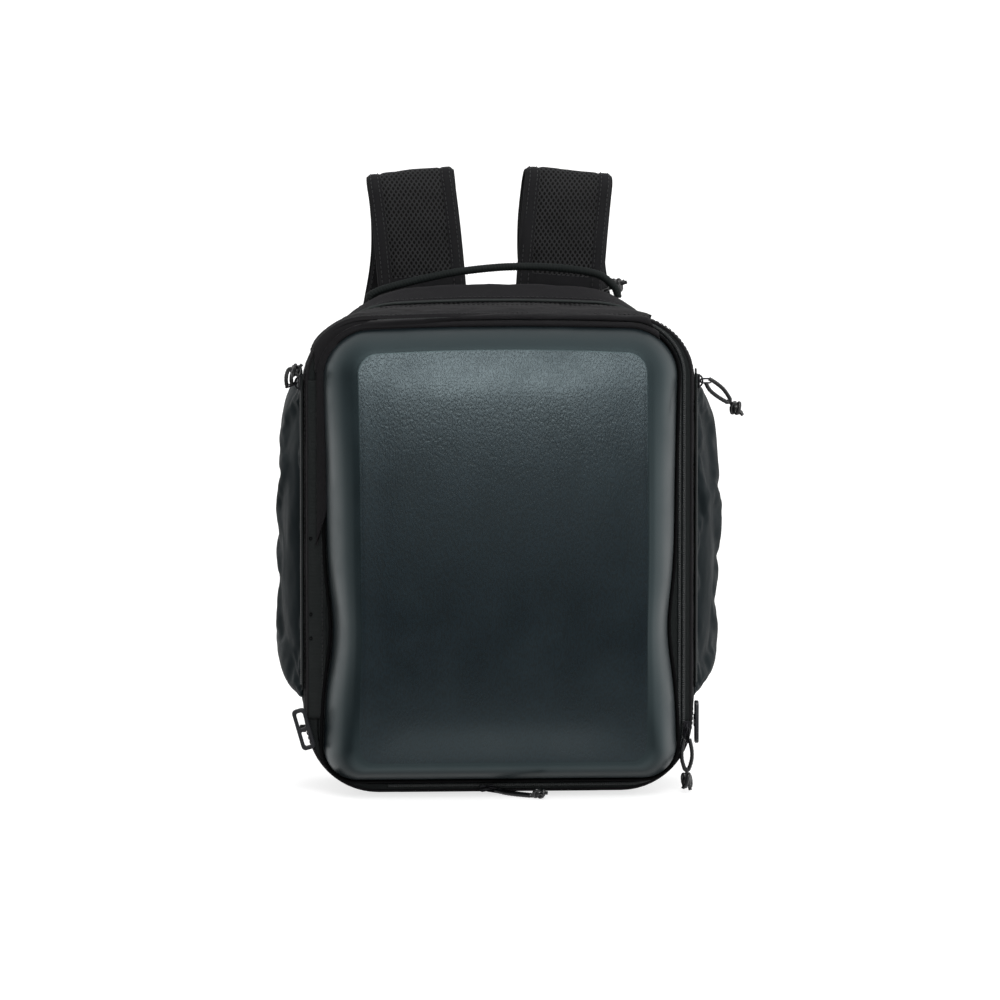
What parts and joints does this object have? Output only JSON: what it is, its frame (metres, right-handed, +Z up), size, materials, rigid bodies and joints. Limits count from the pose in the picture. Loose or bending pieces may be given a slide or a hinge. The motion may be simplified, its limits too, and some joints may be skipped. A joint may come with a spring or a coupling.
{
  "type": "hard-shell drone backpack",
  "caption": "Hard-shell drone carrying backpack: moulded front door hinged on one side, padded bay with dividers, side pockets, straps, handle and zips with cord pulls.",
  "frame": {"origin": "middle of the base panel's underside, on the floor", "axes": "+Z up; -Y out of the front shell, +Y towards the wearer's back; +X to the right of someone facing the shell"},
  "size_m": [0.3745, 0.2371, 0.4954],
  "materials": {
    "shell_leather": "embossed leather-grain skin, satin",
    "black_fabric": "matt woven fabric",
    "pocket_nylon": "satin nylon",
    "air_mesh": "open knit mesh",
    "webbing": "woven webbing",
    "zip_tape": "woven zip tape",
    "black_metal": "black enamel",
    "black_plastic": "moulded acetal",
    "cord": "braided cord",
    "foam_lining": "brushed lining over foam",
    "board": "stiffener board",
    "base_rubber": "coated base"
  },
  "bodies": {
    "pack_body": {"main_gusset": "black_fabric", "rear_gusset": "black_fabric", "partition_panel": "board", "main_zip_tape": "zip_tape", "top_storm_flap": "black_fabric", "rear_zip_tape": "zip_tape", "seam_piping": "zip_tape", "base_panel": "base_rubber", "bay_back_foam": "foam_lining", "divider_shelf": "foam_lining", "divider_upright": "foam_lining", "divider_short": "foam_lining", "left_pocket_zip_tape": "zip_tape", "right_pocket_zip_tape": "zip_tape", "left_handle_anchor": "black_fabric", "right_handle_anchor": "black_fabric", "left_corner_tab": "webbing", "right_corner_tab": "webbing"},
    "front_door": {"front_shell": "shell_leather", "shell_binding": "black_fabric", "door_flange": "zip_tape", "lid_net_pocket": "air_mesh"},
    "left_pocket": {"left_pocket_pouch": "pocket_nylon"},
    "right_pocket": {"right_pocket_pouch": "pocket_nylon"},
    "handle": {"grab_handle": "webbing"},
    "rear_panel": {"harness_panel": "black_fabric", "left_back_pad": "air_mesh", "right_back_pad": "air_mesh", "strap_yoke": "black_fabric", "left_webbing_tab": "webbing", "right_webbing_tab": "webbing", "left_strap_webbing": "webbing", "right_strap_webbing": "webbing"},
    "left_strap": {"left_shoulder_strap": "air_mesh", "left_strap_buckle": "black_plastic"},
    "right_strap": {"right_shoulder_strap": "air_mesh", "right_strap_buckle": "black_plastic"},
    "left_buckle": {"left_corner_buckle": "black_plastic"},
    "right_buckle": {"right_corner_buckle": "black_plastic"},
    "rear_zip_runner": {"rear_zip_slider": "black_metal"},
    "rear_zip_pull": {"rear_zip_pull_cord": "cord", "rear_zip_pull_knot": "cord"},
    "right_pocket_zip_runner": {"right_pocket_zip_slider": "black_metal"},
    "right_pocket_zip_pull": {"right_pocket_zip_pull_cord": "cord", "right_pocket_zip_pull_knot": "cord"},
    "left_pocket_zip_runner": {"left_pocket_zip_slider": "black_metal"},
    "left_pocket_zip_pull": {"left_pocket_zip_pull_cord": "cord", "left_pocket_zip_pull_knot": "cord"},
    "main_zip_side_runner": {"main_zip_side_slider": "black_metal"},
    "main_zip_side_pull": {"main_zip_side_pull_cord": "cord", "main_zip_side_pull_knot": "cord"},
    "main_zip_base_runner": {"main_zip_base_slider": "black_metal"},
    "main_zip_base_pull": {"main_zip_base_pull_cord": "cord", "main_zip_base_pull_knot": "cord"}
  },
  "joints": [
    {"name": "front_door_hinge", "type": "hinge", "parent": "pack_body", "child": "front_door", "pos_m": [-0.1485, -0.0605, 0.19], "axis": [0, 0, -1], "range_deg": [0, 105]},
    {"name": "rear_panel_hinge", "type": "hinge", "parent": "pack_body", "child": "rear_panel", "pos_m": [0, 0.048, 0.005], "axis": [-1, 0, 0], "range_deg": [0, 18]},
    {"name": "left_pocket_hinge", "type": "hinge", "parent": "pack_body", "child": "left_pocket", "pos_m": [-0.1586, 0.034, 0.204], "axis": [0, 0, -1], "range_deg": [0, 30]},
    {"name": "right_pocket_hinge", "type": "hinge", "parent": "pack_body", "child": "right_pocket", "pos_m": [0.1586, 0.034, 0.204], "axis": [0, 0, 1], "range_deg": [0, 30]},
    {"name": "grab_handle_hinge", "type": "hinge", "parent": "pack_body", "child": "handle", "pos_m": [0, 0.032, 0.391], "axis": [1, 0, 0], "range_deg": [-15, 15]},
    {"name": "left_strap_hinge", "type": "hinge", "parent": "rear_panel", "child": "left_strap", "pos_m": [-0.054, 0.0578, 0.348], "axis": [-1, 0, 0], "range_deg": [-3, 9], "deforming": ["left_strap_webbing"]},
    {"name": "right_strap_hinge", "type": "hinge", "parent": "rear_panel", "child": "right_strap", "pos_m": [0.054, 0.0578, 0.348], "axis": [-1, 0, 0], "range_deg": [-3, 9], "deforming": ["right_strap_webbing"]},
    {"name": "left_corner_buckle_hinge", "type": "hinge", "parent": "pack_body", "child": "left_buckle", "pos_m": [-0.153, -0.0607, 0.0538], "axis": [0, 0, 1], "range_deg": [0, 12]},
    {"name": "right_corner_buckle_hinge", "type": "hinge", "parent": "pack_body", "child": "right_buckle", "pos_m": [0.1589, -0.0456, 0.056], "axis": [0, 0, 1], "range_deg": [0, 60]},
    {"name": "rear_zip_slide", "type": "slide", "parent": "pack_body", "child": "rear_zip_runner", "axis": [-1, 0, 0], "range_m": [0, 0.14]},
    {"name": "right_pocket_zip_slide", "type": "slide", "parent": "pack_body", "child": "right_pocket_zip_runner", "axis": [0, 0, -1], "range_m": [0, 0.23]},
    {"name": "left_pocket_zip_slide", "type": "slide", "parent": "pack_body", "child": "left_pocket_zip_runner", "axis": [0, 0, -1], "range_m": [0, 0.23]},
    {"name": "main_zip_side_slide", "type": "slide", "parent": "pack_body", "child": "main_zip_side_runner", "axis": [0, 0, 1], "range_m": [0, 0.24]},
    {"name": "main_zip_base_slide", "type": "slide", "parent": "pack_body", "child": "main_zip_base_runner", "axis": [1, 0, 0], "range_m": [-0.06, 0.06]},
    {"name": "rear_zip_pull_swing", "type": "hinge", "parent": "rear_zip_runner", "child": "rear_zip_pull", "pos_m": [0.0805, 0.0438, 0.3932], "axis": [0, -1, 0], "range_deg": [-2, 60]},
    {"name": "right_pocket_zip_pull_swing", "type": "hinge", "parent": "right_pocket_zip_runner", "child": "right_pocket_zip_pull", "pos_m": [0.1672, -0.0476, 0.331], "axis": [0, -1, 0], "range_deg": [-12, 30]},
    {"name": "left_pocket_zip_pull_swing", "type": "hinge", "parent": "left_pocket_zip_runner", "child": "left_pocket_zip_pull", "pos_m": [-0.1678, -0.0466, 0.3288], "axis": [0, -1, 0], "range_deg": [0, 60]},
    {"name": "main_zip_side_pull_swing", "type": "hinge", "parent": "main_zip_side_runner", "child": "main_zip_side_pull", "pos_m": [0.1502, -0.0616, 0.0436], "axis": [-1, 0, 0], "range_deg": [0, 60]},
    {"name": "main_zip_base_pull_swing", "type": "hinge", "parent": "main_zip_base_runner", "child": "main_zip_base_pull", "pos_m": [-0.0025, -0.0634, 0.0034], "axis": [0, 0, 1], "range_deg": [-40, 25]}
  ]
}
